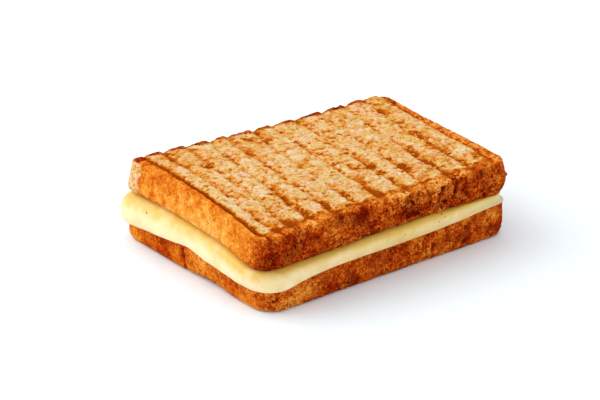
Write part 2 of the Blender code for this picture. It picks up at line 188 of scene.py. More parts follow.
class BreadSettings(bpy.types.PropertyGroup):
    """Sizes and colours of the toasted bread."""

    spacing: length("Mesh spacing", 0.46, "Distance between neighbouring points of a slice")
    groove_depth: length("Groove depth", 0.85, "Depth that the grill's ribs pressed into the upper face")
    groove_width: length("Groove half width", 1.7, "Distance from a groove's bottom to where it has risen")
    crumb_relief: length("Crumb relief", 0.16, "Height of the lumps in the toasted crumb")
    crust_relief: length("Crust relief", 0.34, "Height of the lumps and folds in the crust")
    crumb_pale: colour("Pale crumb", "#F4DFCC", "Crumb that stayed clear of the ribs")
    crumb_straw: colour("Straw crumb", "#EDC9A2", "Crumb that only just touched them")
    crumb_tan: colour("Tan crumb", "#E7AC63", "Crumb that has begun to colour")
    crumb_gold: colour("Golden crumb", "#D9771A", "Toasted crumb")
    crumb_brown: colour("Brown crumb", "#A0440C", "Crumb scorched by a rib")
    # The bran colour is also painted into the bottoms of pores, as their shade
    bran: colour("Bran", "#8A4A10", "Flecks of bran and the bottoms of pores")
    crust_gold: colour("Golden crust", "#FDC06A", "Palest part of the crust")
    crust_amber: colour("Amber crust", "#F49A32", "Lightly baked crust")
    crust_orange: colour("Orange crust", "#D66414", "Crust baked to an even orange")
    crust_brown: colour("Brown crust", "#AC3407", "Well baked crust")
    crust_dark: colour("Dark crust", "#8C2004", "Crust along scorched edges")
    # The darkest crust is also painted into pits and cracks, as their shade
    crust_burnt_and_pit_shade: colour("Burnt crust", "#5A0700", "Crust in the pits")
    # The torn film's pale lines are partly a painted highlight on the crust's relief
    crust_film_and_highlight: colour("Torn crust", "#DC7A2A", "Dry film that stands up in wrinkles on the crust")


class CheeseSettings(bpy.types.PropertyGroup):
    """Sizes and colours of the melted cheese."""

    spacing: length("Mesh spacing", 0.8, "Distance between neighbouring points of the cheese")
    wave: length("Waves", 0.22, "Height of the slow waves in the surface")
    body: colour("Cheese", "#F4DFB0", "Colour of the cheese")
    # The rich colour is also painted as shade in a band just under the upper slice
    rich_and_shade: colour("Rich cheese", "#DDB652", "Deeper yellow stretches, where fat came to the surface")


class StudioSettings(bpy.types.PropertyGroup):
    """Floor and light."""

    floor_size: length("Floor size", 6000, "Side of the square floor")
    floor_colour: colour("Floor", "#F0F5F7", "Matt white card")
    sky: bpy.props.FloatProperty(name="Sky", description="Brightness of the light all round", default=1.02)
    sky_colour: colour("Sky colour", "#F9FCFF", "Nearly white, as from a large tent of cloth")
    key: bpy.props.FloatProperty(name="Key light", description="Its power", unit="POWER", default=14.9)
    key_size: length("Key light size", 1500, "Side of the square light")


# ------------------------------------------------------------------------------------------------ noise


def scatter(cells, seed):
    """A repeatable random number from 0 to 1 for each cell of a lattice."""
    mixed = cells.astype(np.int64) @ np.array([73856093, 19349663, 83492791]) + seed * 40503
    mixed = (mixed ^ (mixed >> 13)) * 1274126177 & 0xFFFFFFFF
    mixed = (mixed ^ (mixed >> 16)) * 668265263 & 0xFFFFFFFF
    return ((mixed ^ (mixed >> 15)) & 0xFFFFFF) / 0xFFFFFF


def waves(points, size, seed, octaves=3):
    """Smooth noise from about -1 to 1, with lumps of the given size and finer ones on them."""
    total = np.zeros(len(points))
    strength = 1.0
    for octave in range(octaves):
        place = points / size * 2**octave
        corner = np.floor(place)
        f = place - corner
        f = f * f * (3 - 2 * f)
        value = np.zeros(len(points))
        for offset in np.ndindex(2, 2, 2):
            weight = np.prod(np.where(offset, f, 1 - f), axis=1)
            value += weight * scatter(corner + offset, seed + octave)
        total += strength * (2 * value - 1)
        strength *= 0.5
    return total * 1.2


def cells(points, size, seed):
    """Nearest and next nearest of scattered middles, as shares of size, and the nearest's random number."""
    place = points / size
    corner = np.floor(place)
    nearest, following, chance = np.full(len(points), 9.0), np.full(len(points), 9.0), np.zeros(len(points))
    for offset in np.ndindex(3, 3, 3):
        cell = corner + np.array(offset) - 1
        middle = cell + np.stack([scatter(cell, seed + k) for k in (1, 2, 3)], axis=1)
        away = np.linalg.norm(place - middle, axis=1)
        closer = away < nearest
        following = np.where(closer, nearest, np.minimum(following, away))
        chance = np.where(closer, scatter(cell, seed + 4), chance)
        nearest = np.minimum(nearest, away)
    return nearest, following, chance


def pits(points, size, seed, share):
    """Round pits: 1 at the middle of a pit and 0 outside. share is how many of the cells have one."""
    nearest, _, chance = cells(points, size, seed)
    return np.where(chance < share, np.clip(1 - (nearest / (0.3 + 0.4 * chance / share)) ** 2, 0, 1), 0)


def ease(value, low, high):
    """0 below low, 1 above high and a smooth step between."""
    f = np.clip((value - low) / (high - low), 0, 1)
    return f * f * (3 - 2 * f)


# -------------------------------------------------------------------------------------------- outlines


def directions(corners):
    """Unit vector along each side."""
    along = np.roll(corners, -1, axis=0) - corners
    return along / np.linalg.norm(along, axis=1)[:, None]


def right_hand(along):
    """The directions turned a quarter to the right, which is outward for a side."""
    return np.stack([along[:, 1], -along[:, 0]], axis=1)


def move_sides(corners, steps):
    """Corners after each side has moved outward by its own step."""
    steps = np.broadcast_to(steps, 4)
    facing = right_hand(directions(corners))
    moved = []
    for i in range(4):
        normals = np.array([facing[i - 1], facing[i]])
        moved.append(corners[i] + np.linalg.solve(normals, [steps[i - 1], steps[i]]))
    return np.array(moved)


def corner_arc(corners, radii, i, start, end):
    """Points on corner i's arc, from the share start to the share end of its turn."""
    along = directions(corners)
    heading = math.atan2(along[i - 1][1], along[i - 1][0])
    turn = (math.atan2(along[i][1], along[i][0]) - heading) % (2 * math.pi)
    reach = radii[i] * math.tan(turn / 2)
    centre = corners[i] - reach * along[i - 1] + radii[i] * np.array([-along[i - 1][1], along[i - 1][0]])
    angles = heading + turn * np.linspace(start, end, 24)
    return centre + radii[i] * np.stack([np.sin(angles), -np.cos(angles)], axis=1)


def along_side(corners, radii, swells, side, shares):
    """Points at shares of the way from the middle of one corner's arc to the middle of the next one's."""
    path = np.vstack(
        [corner_arc(corners, radii, side, 0.5, 1), corner_arc(corners, radii, (side + 1) % 4, 0, 0.5)]
    )
    steps = np.linalg.norm(np.diff(path, axis=0), axis=1)
    travelled = np.concatenate([[0], np.cumsum(steps)]) / steps.sum()
    points = np.stack([np.interp(shares, travelled, path[:, axis]) for axis in (0, 1)], axis=1)
    swell = swells[side] * np.sin(math.pi * np.asarray(shares)) ** 2
    return points + swell[:, None] * right_hand(directions(corners))[side]


def smooth_through(knots, position):
    """Values on a smooth closed curve through the knots, at positions counted in knots."""
    before = np.floor(position).astype(int)
    f = position - before
    a, b, c, d = (np.take(knots, before + step, mode="wrap") for step in (-1, 0, 1, 2))
    return b + 0.5 * f * (c - a + f * (2 * a - 5 * b + 4 * c - d + f * (3 * (b - c) + d - a)))


def outward(plan):
    """Unit normals of a closed ring in plan, pointing out."""
    along = np.roll(plan, -1, axis=0) - np.roll(plan, 1, axis=0)
    return right_hand(along) / np.linalg.norm(along, axis=1)[:, None]


def lift(plan, heights):
    """Plan points with heights, as points in space."""
    return np.column_stack([plan, np.broadcast_to(heights, len(plan))])


class Stations:
    """Evenly spaced stations round a slice: columns along the front and the back, rows up the two ends."""

    def __init__(self, spacing):
        self.columns = round(FACE_LENGTH / spacing)
        self.rows = round(FACE_DEPTH / spacing)
        counts = (self.columns, self.rows, self.columns, self.rows)
        self.side = np.repeat(range(4), counts)
        self.share = np.concatenate([np.arange(n) / n for n in counts])
        self.position = 4 * (self.side + self.share)
        on_side = [self.side == 0, self.side == 1, self.side == 2]
        self.u = np.select(on_side, [self.share, 1, 1 - self.share], 0)
        self.v = np.select(on_side, [0, self.share, 1], 1 - self.share)

    def ring(self, corners, radii, swells, heights):
        """Points of a level at the stations."""
        sides = [along_side(corners, radii, swells, k, self.share[self.side == k]) for k in range(4)]
        return lift(np.vstack(sides), heights)

    def knots(self, values):
        """Values at the stations from the knots."""
        return smooth_through(values, self.position)


def patch(edge, columns, rows):
    """Grid that spans four sides by blending them. edge(side, shares) gives points on a side."""
    across = np.linspace(0, 1, columns + 1)
    up = np.linspace(0, 1, rows + 1)
    u, v = across[:, None, None], up[None, :, None]
    sides = (1 - v) * edge(0, across)[:, None] + v * edge(2, 1 - across)[:, None]
    sides = sides + (1 - u) * edge(3, 1 - up)[None] + u * edge(1, up)[None]
    ends = [edge(side, np.zeros(1)) for side in range(4)]
    return sides - (1 - u) * ((1 - v) * ends[0] + v * ends[3]) - u * ((1 - v) * ends[1] + v * ends[2])


def profile(levels, spacing, start):
    """Rings on a smooth curve through levels of points, from level start on, and how far along each is."""
    levels = np.array(levels)
    steps = np.linalg.norm(np.diff(levels, axis=0), axis=2).mean(axis=1)
    place = np.concatenate([[0], np.cumsum(steps)])
    tangents = np.gradient(levels, place, axis=0)
    count = max(2, round((place[-1] - place[start]) / spacing))
    wanted = np.linspace(place[start], place[-1], count + 1)
    before = np.clip(np.searchsorted(place, wanted, side="right") - 1, 0, len(place) - 2)
    width = (place[before + 1] - place[before])[:, None, None]
    f = ((wanted - place[before]) / (place[before + 1] - place[before]))[:, None, None]
    rings = (
        (2 * f**3 - 3 * f**2 + 1) * levels[before]
        + (f**3 - 2 * f**2 + f) * width * tangents[before]
        + (3 * f**2 - 2 * f**3) * levels[before + 1]
        + (f**3 - f**2) * width * tangents[before + 1]
    )
    return rings, wanted - place[start]


# ---------------------------------------------------------------------------------------------- meshes


def make_piece(name, points, faces, material, attributes):
    """Makes an object from points in millimetres, with numbers at its points that the material reads."""
    data = bpy.data.meshes.new(name)
    data.from_pydata((points * MM).tolist(), [], faces)
    data.shade_smooth()
    for label, values in attributes.items():
        layer = data.attributes.new(label, "FLOAT", "POINT")
        layer.data.foreach_set("value", values.astype(np.float32))
    data.materials.append(material)
    made = bpy.data.objects.new(name, data)
    bpy.context.scene.collection.objects.link(made)
    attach(made, BODY)
    return made


class Skin:
    """Points and faces of a closed body made of rings, with a grid or a fan over either end."""

    def __init__(self, rings):
        levels, around = rings.shape[:2]
        self.points = rings.reshape(-1, 3)
        self.middle = 0.5 * (self.points.min(axis=0) + self.points.max(axis=0))
        index = np.arange(levels * around).reshape(levels, around)
        after = np.roll(index, -1, axis=1)
        self.quads = [np.stack([index[:-1], index[1:], after[1:], after[:-1]], axis=-1).reshape(-1, 4)]
        self.fans = []
        self.first, self.last = index[0], index[-1]

    def grid(self, points, flip):
        """Fills the first ring with a grid; returns the numbers of the grid's points."""
        columns, rows = points.shape[0] - 1, points.shape[1] - 1
        number = np.empty((columns + 1, rows + 1), int)
        number[:, 0] = self.first[: columns + 1]
        number[columns, :] = self.first[columns : columns + rows + 1]
        number[:, rows] = self.first[columns + rows : 2 * columns + rows + 1][::-1]
        number[0, 1:] = self.first[2 * columns + rows :][::-1]
        number[0, 0] = self.first[0]
        number[0, rows] = self.first[2 * columns + rows]
        count = (columns - 1) * (rows - 1)
        number[1:-1, 1:-1] = len(self.points) + np.arange(count).reshape(columns - 1, rows - 1)
        self.points = np.vstack([self.points, points[1:-1, 1:-1].reshape(-1, 3)])
        quads = np.stack([number[:-1, :-1], number[1:, :-1], number[1:, 1:], number[:-1, 1:]], axis=-1)
        self.quads.append(quads.reshape(-1, 4)[:, ::-1] if flip else quads.reshape(-1, 4))
        return number

    def fan(self, ring, flip):
        """Closes a ring with triangles round its middle."""
        middle = len(self.points)
        self.points = np.vstack([self.points, self.points[ring].mean(axis=0)])
        after = np.roll(ring, -1)
        triangles = np.stack([ring, after, np.full(len(ring), middle)], axis=-1)
        self.fans.append(triangles[:, ::-1] if flip else triangles)

    def normals(self):
        """Unit normal at each point."""
        normals = np.zeros_like(self.points)
        for faces in self.quads + self.fans:
            corners = self.points[faces]
            across = np.cross(corners[:, 2] - corners[:, 0], corners[:, -1] - corners[:, 1])
            for k in range(faces.shape[1]):
                np.add.at(normals, faces[:, k], across)
        return normals / np.maximum(np.linalg.norm(normals, axis=1), 1e-12)[:, None]

    def finish(self, name, node, material, attributes):
        """Makes the object, with the middle of its plan over the middle of its solid."""
        low, high = (np.array(corner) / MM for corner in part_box(node))
        points = self.points - self.middle + 0.5 * (low + high)
        points[:, 2] = self.points[:, 2]
        faces = [face for group in self.quads + self.fans for face in group.tolist()]
        return make_piece(name, points, faces, material, attributes)


# ------------------------------------------------------------------------------------------- materials


def add(tree, kind, links=None, stops=None, **settings):
    """Adds a node with its settings. links gives each input a value or another node's output."""
    node = tree.nodes.new("ShaderNode" + kind)
    for name, value in settings.items():
        setattr(node, name, value)
    for name, value in (links or {}).items():
        if isinstance(value, bpy.types.NodeSocket):
            tree.links.new(value, node.inputs[name])
        else:
            node.inputs[name].default_value = value
    for i, (place, tint) in enumerate(stops or ()):
        elements = node.color_ramp.elements
        element = elements[i] if i < len(elements) else elements.new(place)
        element.position = place
        element.color = (*tint, 1)
    return node


def blank(name):
    """A material with an empty node tree."""
    material = bpy.data.materials.new(name)
    material.use_nodes = True
    material.node_tree.nodes.clear()
    return material, material.node_tree


def toasted_bread(settings):
    """Wholemeal bread, sliced and toasted between hot ribs.

    The open crumb scatters light and shows pale ridges, pores and brown grooves with flecks of bran; the
    pores' bottoms are painted dark, as shade. The crust is denser and browner, with painted shade in its
    pits, and its dry film is wrinkled where it tore, in pale lines that are partly a painted highlight.
    """
    material, tree = blank("toasted_wholemeal_bread")
    place = add(tree, "TexCoord").outputs["Object"]
    place = add(tree, "VectorMath", {0: place, 1: (1000, 1000, 1000)}, operation="MULTIPLY").outputs[0]
    labels = ("crust", "tone", "bake_and_painted_light", "rough")
    fields = [add(tree, "Attribute", attribute_name=label).outputs["Fac"] for label in labels]
    crust, tone, bake_and_painted_light, rough = fields

    # Crumbs and blisters are bent cells about 1.7 and 0.8 mm across, each in a shade of its own
    grain = add(tree, "TexNoise", {"Vector": place, "Scale": 1.3, "Detail": 3.0, "Roughness": 0.65})
    bent = {0: grain.outputs["Color"], 1: (1.3, 1.3, 1.3), 2: place}
    bent = add(tree, "VectorMath", bent, operation="MULTIPLY_ADD").outputs[0]
    cell = add(tree, "TexVoronoi", {"Vector": bent, "Scale": 0.6})
    large = add(tree, "SeparateColor", {0: cell.outputs["Color"]})
    chip = add(tree, "TexVoronoi", {"Vector": bent, "Scale": 1.25})
    small = add(tree, "SeparateColor", {0: chip.outputs["Color"]})
    fine = add(tree, "TexNoise", {"Vector": place, "Scale": 2.4, "Detail": 2.0, "Roughness": 0.7}).outputs[0]
    shades = []
    for parts in ((0.16, 0.2, 0.34, 0.5), (0.16, 0.18, 0.4, 0.58)):
        shade = -0.5 * sum(parts)
        for part, source in zip(parts, (large.outputs[0], small.outputs[0], grain.outputs[0], fine)):
            shade = add(tree, "Math", {0: source, 1: part, 2: shade}, operation="MULTIPLY_ADD").outputs[0]
        shades.append(shade)

    # Flecks of bran are 2.2 mm apart and pores 1.2 mm; the pores' bottoms are painted dark, as shade
    dots = []
    for scale, share, size, depth in ((0.45, 0.4, 0.22, 0.7), (0.8, 0.45, 0.34, 0.5)):
        dot = add(tree, "TexVoronoi", {"Vector": place, "Scale": scale})
        chosen = add(tree, "SeparateColor", {0: dot.outputs["Color"]}).outputs[0]
        chosen = add(tree, "Math", {0: chosen, 1: share}, operation="LESS_THAN").outputs[0]
        near = {0: dot.outputs["Distance"], 1: 0.4 * size, 2: size, 3: depth, 4: 0.0}
        near = add(tree, "MapRange", near, interpolation_type="SMOOTHSTEP").outputs[0]
        dots.append(add(tree, "Math", {0: near, 1: chosen}, operation="MULTIPLY").outputs[0])
    flecks, pores = dots

    browned = add(tree, "Math", {0: shades[0], 1: tone}, operation="ADD").outputs[0]
    stops = (
        (0.0, settings.crumb_pale),
        (0.28, settings.crumb_straw),
        (0.5, settings.crumb_tan),
        (0.74, settings.crumb_gold),
        (1.0, settings.crumb_brown),
    )
    crumb = add(tree, "ValToRGB", {0: browned}, stops).outputs[0]
    # Stretches some 6 mm long are rosier or greener than the rest, and so is each lump
    stretch = {"Vector": place, "Scale": 0.17, "Detail": 2.0, "Roughness": 0.6}
    stretch = add(tree, "TexNoise", stretch).outputs[0]
    hue = add(tree, "Math", {0: stretch, 1: 1.6, 2: -0.55}, operation="MULTIPLY_ADD").outputs[0]
    hue = add(tree, "Math", {0: large.outputs[1], 1: 0.4, 2: hue}, operation="MULTIPLY_ADD").outputs[0]
    hue = add(tree, "Math", {0: small.outputs[2], 1: 0.3, 2: hue}, operation="MULTIPLY_ADD").outputs[0]
    stops = (
        (0.15, (1.0, 0.9, 0.97)),
        (0.45, (1.0, 0.95, 0.85)),
        (0.75, (0.97, 0.96, 0.64)),
        (1.0, (0.88, 0.87, 0.5)),
    )
    tint = add(tree, "ValToRGB", {0: hue}, stops).outputs[0]
    blend = {"data_type": "RGBA", "clamp_result": True}
    crumb = add(tree, "Mix", {0: 1.0, 6: crumb, 7: tint}, blend_type="MULTIPLY", **blend).outputs[2]
    # Painted shade: the pores' bottoms take the bran colour
    crumb = add(tree, "Mix", {0: pores, 6: crumb, 7: (*settings.bran, 1)}, **blend).outputs[2]
    crumb = add(tree, "Mix", {0: flecks, 6: crumb, 7: (*settings.bran, 1)}, **blend).outputs[2]

    spread = add(tree, "Math", {0: rough, 1: 1.8, 2: 0.5}, operation="MULTIPLY_ADD").outputs[0]
    baked = add(tree, "Math", {0: shades[1], 1: spread, 2: bake_and_painted_light}, operation="MULTIPLY_ADD").outputs[0]
    # Painted shade: pores darken the crust
    baked = add(tree, "Math", {0: pores, 1: 0.35, 2: baked}, operation="MULTIPLY_ADD").outputs[0]
    stops = (
        (0.0, settings.crust_gold),
        (0.2, settings.crust_amber),
        (0.42, settings.crust_orange),
        (0.62, settings.crust_brown),
        (0.8, settings.crust_dark),
        (1.0, settings.crust_burnt_and_pit_shade),
    )
    crusty = add(tree, "ValToRGB", {0: baked}, stops).outputs[0]
    # Where the crust tore, dry film stands up in wrinkles about 1.2 mm apart; their pale lines are partly a
    # painted highlight on the crust's fine relief
    wrinkle_and_highlight = add(tree, "TexVoronoi", {"Vector": bent, "Scale": 0.8}, feature="DISTANCE_TO_EDGE").outputs[0]
    wrinkle_and_highlight = add(tree, "MapRange", {0: wrinkle_and_highlight, 1: 0.03, 2: 0.2, 3: 1.0, 4: 0.0}).outputs[0]
    torn = add(tree, "MapRange", {0: stretch, 1: 0.48, 2: 0.62, 3: 0.03, 4: 0.6}).outputs[0]
    torn = add(tree, "Math", {0: torn, 1: rough}, operation="MULTIPLY").outputs[0]
    wrinkle_and_highlight = add(tree, "Math", {0: wrinkle_and_highlight, 1: torn}, operation="MULTIPLY").outputs[0]
    crusty = add(tree, "Mix", {0: wrinkle_and_highlight, 6: crusty, 7: (*settings.crust_film_and_highlight, 1)}, **blend).outputs[2]
    skin = add(tree, "Mix", {0: crust, 6: crumb, 7: crusty}, **blend).outputs[2]

    relief = add(tree, "Math", {0: pores, 1: -1.0, 2: grain.outputs[0]}, operation="MULTIPLY_ADD").outputs[0]
    relief = {0: chip.outputs["Distance"], 1: -0.6, 2: relief}
    relief = add(tree, "Math", relief, operation="MULTIPLY_ADD").outputs[0]
    bump = add(tree, "Bump", {"Height": relief, "Strength": 1.0, "Distance": 0.0006}).outputs[0]
    gloss = add(tree, "MapRange", {0: crust, 1: 0.0, 2: 1.0, 3: 0.85, 4: 0.6}).outputs[0]
    shader = add(
        tree,
        "BsdfPrincipled",
        {"Base Color": skin, "Roughness": gloss, "Normal": bump, "Specular IOR Level": 0.0, "IOR": 1.45},
    )
    add(tree, "OutputMaterial", {"Surface": shader.outputs[0]})
    return material


def melted_cheese(settings):
    """Young cheddar, melted and set again: waxy, dense and faintly translucent, richer where fat came out,
    and with painted shade in a deeper yellow band under the upper slice.
    """
    material, tree = blank("melted_cheddar")
    place = add(tree, "TexCoord").outputs["Object"]
    place = add(tree, "VectorMath", {0: place, 1: (1000, 1000, 1000)}, operation="MULTIPLY").outputs[0]
    # Rich pools are about 17 mm across and the finer clouds in them 4 mm
    pools = {"Vector": place, "Scale": 0.06, "Detail": 2.0, "Roughness": 0.5}
    pools = add(tree, "TexNoise", pools).outputs[0]
    pools = add(tree, "MapRange", {0: pools, 1: 0.5, 2: 0.75, 3: 0.0, 4: 0.4}).outputs[0]
    curd = add(tree, "TexNoise", {"Vector": place, "Scale": 0.22, "Detail": 3.0, "Roughness": 0.6}).outputs[0]
    curd = add(tree, "Math", {0: curd, 1: 1.0, 2: -0.5}, operation="MULTIPLY_ADD").outputs[0]
    pools = add(tree, "Math", {0: pools, 1: curd}, operation="ADD").outputs[0]
    # Painted shade: the band just under the upper slice is deeper yellow, partly fat that came out and partly
    # the shade under the bread
    fat_and_shade = add(tree, "Attribute", attribute_name="fat_and_shade").outputs["Fac"]
    pools = add(tree, "Math", {0: pools, 1: fat_and_shade}, operation="ADD", use_clamp=True).outputs[0]
    links = {0: pools, 6: (*settings.body, 1), 7: (*settings.rich_and_shade, 1)}
    body = add(tree, "Mix", links, data_type="RGBA").outputs[2]
    fine = add(tree, "TexNoise", {"Vector": place, "Scale": 0.7, "Detail": 3.0, "Roughness": 0.5}).outputs[0]
    bump = add(tree, "Bump", {"Height": fine, "Strength": 0.25, "Distance": 0.0003}).outputs[0]
    shader = add(
        tree,
        "BsdfPrincipled",
        {
            "Base Color": body,
            "Roughness": 0.38,
            "Normal": bump,
            "IOR": 1.45,
            "Specular IOR Level": 0.35,
            "Subsurface Weight": 0.6,
            "Subsurface Radius": (1.0, 0.7, 0.3),
            "Subsurface Scale": 0.003,
        },
    )
    add(tree, "OutputMaterial", {"Surface": shader.outputs[0]})
    return material


def white_card(settings):
    """Matt white card, laid flat as a studio floor."""
    material, tree = blank("matt_white_card")
    place = add(tree, "TexCoord").outputs["Object"]
    fibre = add(tree, "TexNoise", {"Vector": place, "Scale": 300.0, "Detail": 2.0}).outputs[0]
    fibre = add(tree, "MapRange", {0: fibre, 3: 0.985, 4: 1.0}).outputs[0]
    links = {0: 1.0, 6: (*settings.floor_colour, 1), 7: fibre}
    tint = add(tree, "Mix", links, data_type="RGBA", blend_type="MULTIPLY").outputs[2]
    shader = add(tree, "BsdfPrincipled", {"Base Color": tint, "Roughness": 0.9, "Specular IOR Level": 0.1})
    add(tree, "OutputMaterial", {"Surface": shader.outputs[0]})
    return material


# --------------------------------------------------------------------------------------------- slices


# How well the crust is baked round each slice, at the knots, and along the upper slice's left side
TOP_BAKE = np.array(
    [0.6, 0.63, 0.61, 0.59, 0.59, 0.6, 0.66, 0.66, 0.66, 0.7, 0.7, 0.7, 0.66, 0.66, 0.66, 0.7]
)
BOTTOM_BAKE = np.array(
    [0.36, 0.6, 0.56, 0.54, 0.53, 0.6, 0.66, 0.66, 0.66, 0.66, 0.66, 0.66, 0.41, 0.34, 0.32, 0.35]
)
LEFT_BAKE = np.array([0.29, 0.28, 0.17, 0.18, 0.37])
# Stretches of crust baked darker or paler: how far round, how far over the edge, half length in knots, half
# height in millimetres, and how much
TOP_STAINS = (
    (0.28, 8.0, 0.3, 6.5, 0.208), (0.78, 3.0, 0.12, 3.0, -0.182), (1.05, 9.0, 0.35, 4.0, -0.104),
    (1.5, 5.0, 0.14, 4.0, 0.26), (2.0, 2.5, 0.3, 2.5, -0.208), (2.3, 9.0, 0.3, 3.0, 0.13),
    (2.75, 4.0, 0.14, 3.5, -0.182), (3.3, 6.0, 0.2, 4.0, 0.208), (3.95, 6.0, 0.3, 5.0, -0.078),
)
BOTTOM_STAINS = (
    (0.5, 6.0, 0.3, 5.0, -0.091), (1.1, 6.0, 0.2, 4.0, -0.13), (1.35, 4.5, 0.13, 2.5, 0.286),
    (1.62, 9.0, 0.1, 2.0, 0.234), (2.0, 6.0, 0.3, 4.0, -0.13), (3.25, 7.0, 0.12, 2.5, 0.26),
    (3.7, 9.0, 0.15, 2.5, -0.13), (3.9, 5.0, 0.12, 3.0, 0.13),
)
# Sizes in millimetres: lumps of crumb, pores, folds of crust, and how far grooves run on past the edge
BIG_LUMP, SMALL_LUMP, PORE, FOLD = 3.6, 1.8, 1.7, 2.6
GROOVE_FADE, RIB_FADE, RIB_SPACING = 3.0, 1.2, 11.6
TORN_KNOT, BLOTCH_KNOT, FOLD_KNOT = 12.0, 13.2, 13.78


class Survey:
    """Where each point of a slice lies: in shares of the face, in knots round it and in millimetres."""

    def __init__(self, skin, at, number, over):
        count, rings = len(skin.points), len(over)
        on_rings = rings * len(at.u)
        self.u, self.v, self.past = np.zeros(count), np.zeros(count), np.zeros(count)
        self.position = np.full(count, -1.0)
        self.u[:on_rings] = np.tile(at.u, rings)
        self.v[:on_rings] = np.tile(at.v, rings)
        self.past[:on_rings] = np.repeat(over, len(at.u))
        self.past[-1] = over[-1]
        self.position[:on_rings] = np.tile(at.position, rings)
        inside = number[1:-1, 1:-1]
        self.u[inside] = (np.arange(1, at.columns) / at.columns)[:, None]
        self.v[inside] = (np.arange(1, at.rows) / at.rows)[None, :]
        self.left, self.right = self.u * FACE_LENGTH, (1 - self.u) * FACE_LENGTH
        self.front, self.back = self.v * FACE_DEPTH, (1 - self.v) * FACE_DEPTH
        # Points inside the face take the position of the nearest station on its edge
        near = np.argmin(np.stack([self.front, self.right, self.back, self.left]), axis=0)
        share = np.choose(near, [self.u, self.v, 1 - self.u, 1 - self.v])
        self.at_rim = np.where(self.position >= 0, self.position, 4 * (near + share))


def stain(points, place, stains):
    """How much darker the crust is than the knots say, at places round a slice."""
    ragged = 0.25 * waves(points, 3.5, 90)
    total = np.zeros(len(points))
    for centre, below, wide, tall, strength in stains:
        away = ((place.position - centre) / wide) ** 2 + ((place.past - below) / tall) ** 2
        total += strength * (1 - ease(np.sqrt(away) + ragged, 0.5, 1.3))
    return total


def groove_fields(place, settings):
    """Depth and scorching of the grooves and spots in the upper face, with painted shade along each groove's
    steep left wall.
    """
    along, up = place.left, place.front
    count = len(along)
    depth, toast = np.zeros(count), np.zeros(count)
    width = settings.groove_width / MM
    for number, (front, back, scorch) in enumerate(GROOVES):
        path = np.column_stack([up, np.full(count, 31.0 * number), np.zeros(count)])
        away = along - front - (back - front) * place.v**2 - 0.6 * waves(path, 9, 11, 2)
        away = away / width / (END_GROOVE_WIDTH if number in (0, len(GROOVES) - 1) else 1.0)
        # Its left wall is steep, and it rises slowly to the right
        side = away * np.where(away < 0, 1.25, 0.8)
        press = np.interp(place.v, SCORCH_AT, scorch)
        uneven = 1 + 0.3 * waves(path, 5, 12, 2)
        depth += (0.45 + 0.55 * press) * uneven * np.exp(-(side**2))
        depth += 0.4 * press * np.exp(-(((away + 0.25) / 0.45) ** 2))
        blown = press * (1 + 0.3 * ease(0.3 - place.v, 0, 0.15)) * (1 + 0.4 * waves(path, 4, 13, 2))
        toast += blown * (0.75 * np.exp(-((side / 0.8) ** 2)) + 0.4 * np.exp(-((side / 1.6) ** 2)))
        # A dark line lies along its foot, partly scorch and partly painted shade on its steep left wall, and
        # a brown haze to its right, stronger towards the left end
        toast += 0.35 * uneven * np.exp(-(((away + 0.35) / 0.32) ** 2))
        haze = 0.36 - 0.22 * ease(place.u, 0.35, 0.6)
        toast += haze * np.exp(-np.clip(away, 0, None) / 1.6) * (away > 0)
    ragged = 0.5 * waves(np.column_stack([along, up, np.full(count, 500.0)]), 2.0, 14, 2)
    for centre, across, long, wide, strength in SPOTS:
        away = ((up - across) / long) ** 2 + ((along - centre) / wide) ** 2 + ragged
        toast += strength * np.exp(-(np.clip(away, 0, None) ** 1.5))
    return depth * settings.groove_depth / MM, np.clip(toast, 0, 1.3)


def crust_texture(points, seed):
    """Relief of rough crust, from about -1 to 1, and its pits. Both are taller than they are wide."""
    tall = (points + 0.9 * waves(points, 2.5, seed)[:, None]) * np.array([1.0, 1.0, 0.6])
    folds = waves(tall, FOLD, seed + 3)
    grain = waves(points, 1.15, seed + 6, 2)
    nearest, following, chance = cells(tall, FOLD, seed + 10)
    cracks = (1 - ease(following - nearest, 0.02, 0.22)) * (chance < 0.6)
    return 0.6 * folds + 0.2 * grain - 0.8 * cracks, pits(tall, 2.2, seed + 30, 0.3)


def crumb_lumps(points):
    """Height of the lumps in the crumb, the brown and painted shade that they add, and the small ones' random
    numbers.

    Each lump has a shade of its own, a few are much browner, and the crumb between them is painted browner,
    as the shade in those crevices.
    """
    warped = points + 0.7 * np.stack([waves(points, 2.2, 36 + k, 2) for k in range(3)], axis=1)
    big, big_next, big_chance = cells(warped, BIG_LUMP, 41)
    small, small_next, small_chance = cells(warped, SMALL_LUMP, 51)
    between = 0.45 * (1 - ease(big_next - big, 0, 0.25)) + 0.6 * (1 - ease(small_next - small, 0, 0.35))
    height = 1.7 - 1.2 * (big**2 + small**2) - 0.6 * between
    # Painted shade: the crevices between lumps are darker
    brown = 0.15 * (big_chance + small_chance - 1) + 0.08 * between
    brown = brown + 0.2 * (small_chance > 0.9) + 0.12 * (big_chance > 0.86)
    return height, brown, small_chance


def creases(v):
    """How far the first groove is from the left end and the last one from the right end."""
    (first_front, first_back, _), (last_front, last_back, _) = GROOVES[0], GROOVES[-1]
    left = first_front + (first_back - first_front) * v**2
    right = FACE_LENGTH - last_front - (last_back - last_front) * v**2
    return left, right


